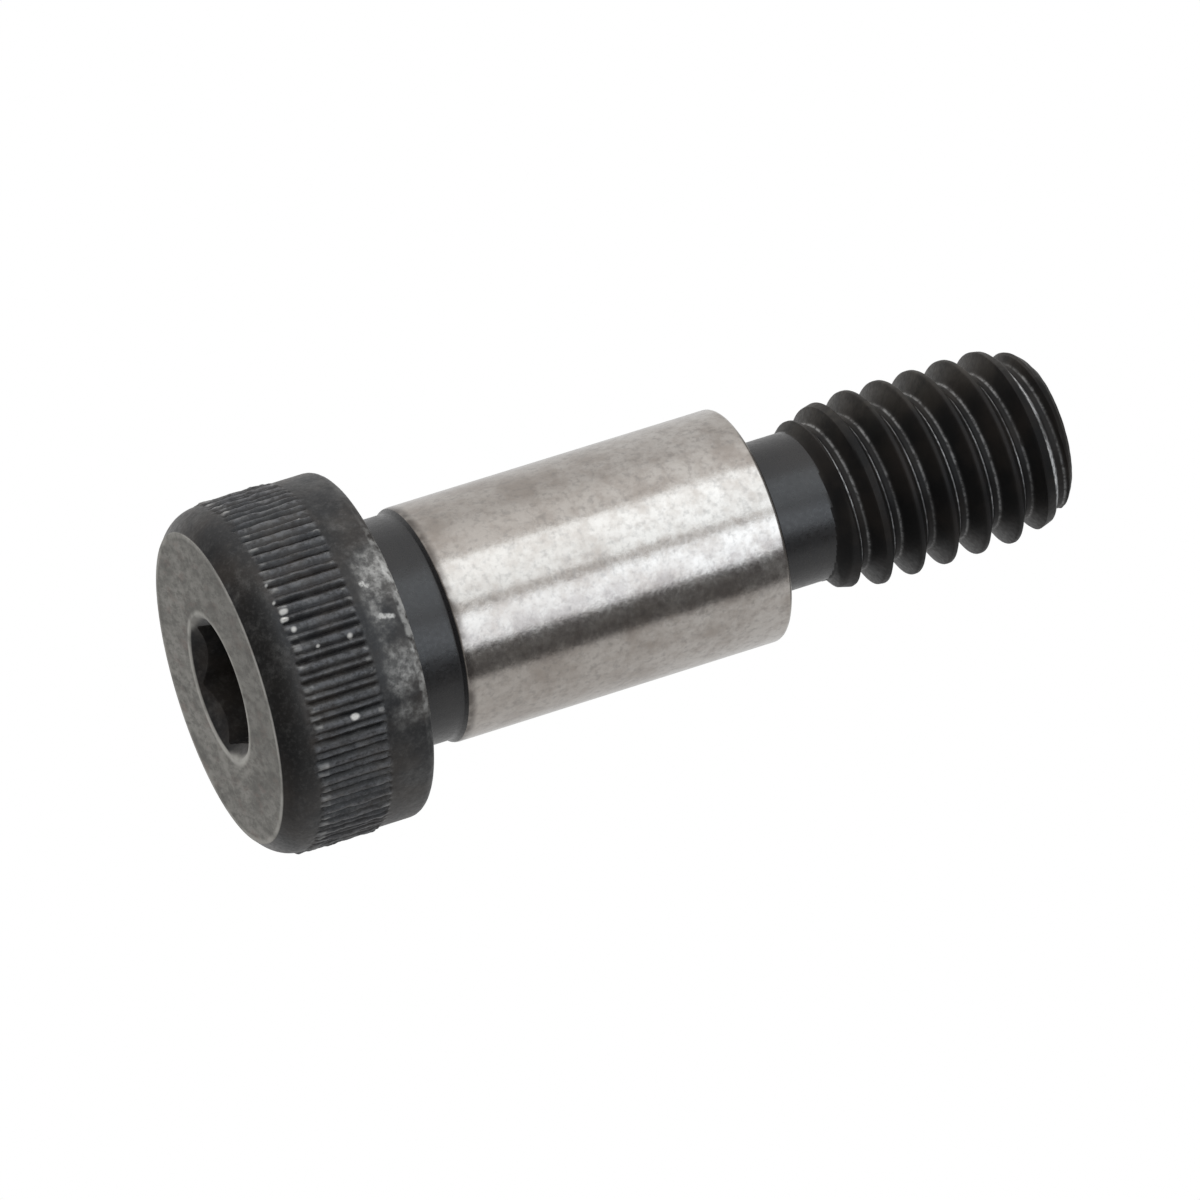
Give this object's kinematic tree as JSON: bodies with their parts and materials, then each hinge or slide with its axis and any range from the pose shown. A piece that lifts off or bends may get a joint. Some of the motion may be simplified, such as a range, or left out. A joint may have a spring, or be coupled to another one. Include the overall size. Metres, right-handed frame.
{
  "type": "shoulder bolt",
  "caption": "Shoulder bolt with a knurled cylindrical head, a hexagon socket, a ground shoulder that other parts turn on, and a right-hand threaded end.",
  "frame": {"origin": "centre of the head's flat face, on which the bolt stands", "axes": "+Z along the bolt's axis from the head to the threaded tip; two corners of the hexagon socket lie on the Y axis"},
  "size_m": [0.014, 0.014, 0.0351],
  "materials": {
    "black_oxide_steel": "black oxide, oiled, satin",
    "ground_steel": "ground, lightly stained"
  },
  "bodies": {
    "root": {"shoulder_bolt": "black_oxide_steel"}
  },
  "joints": []
}
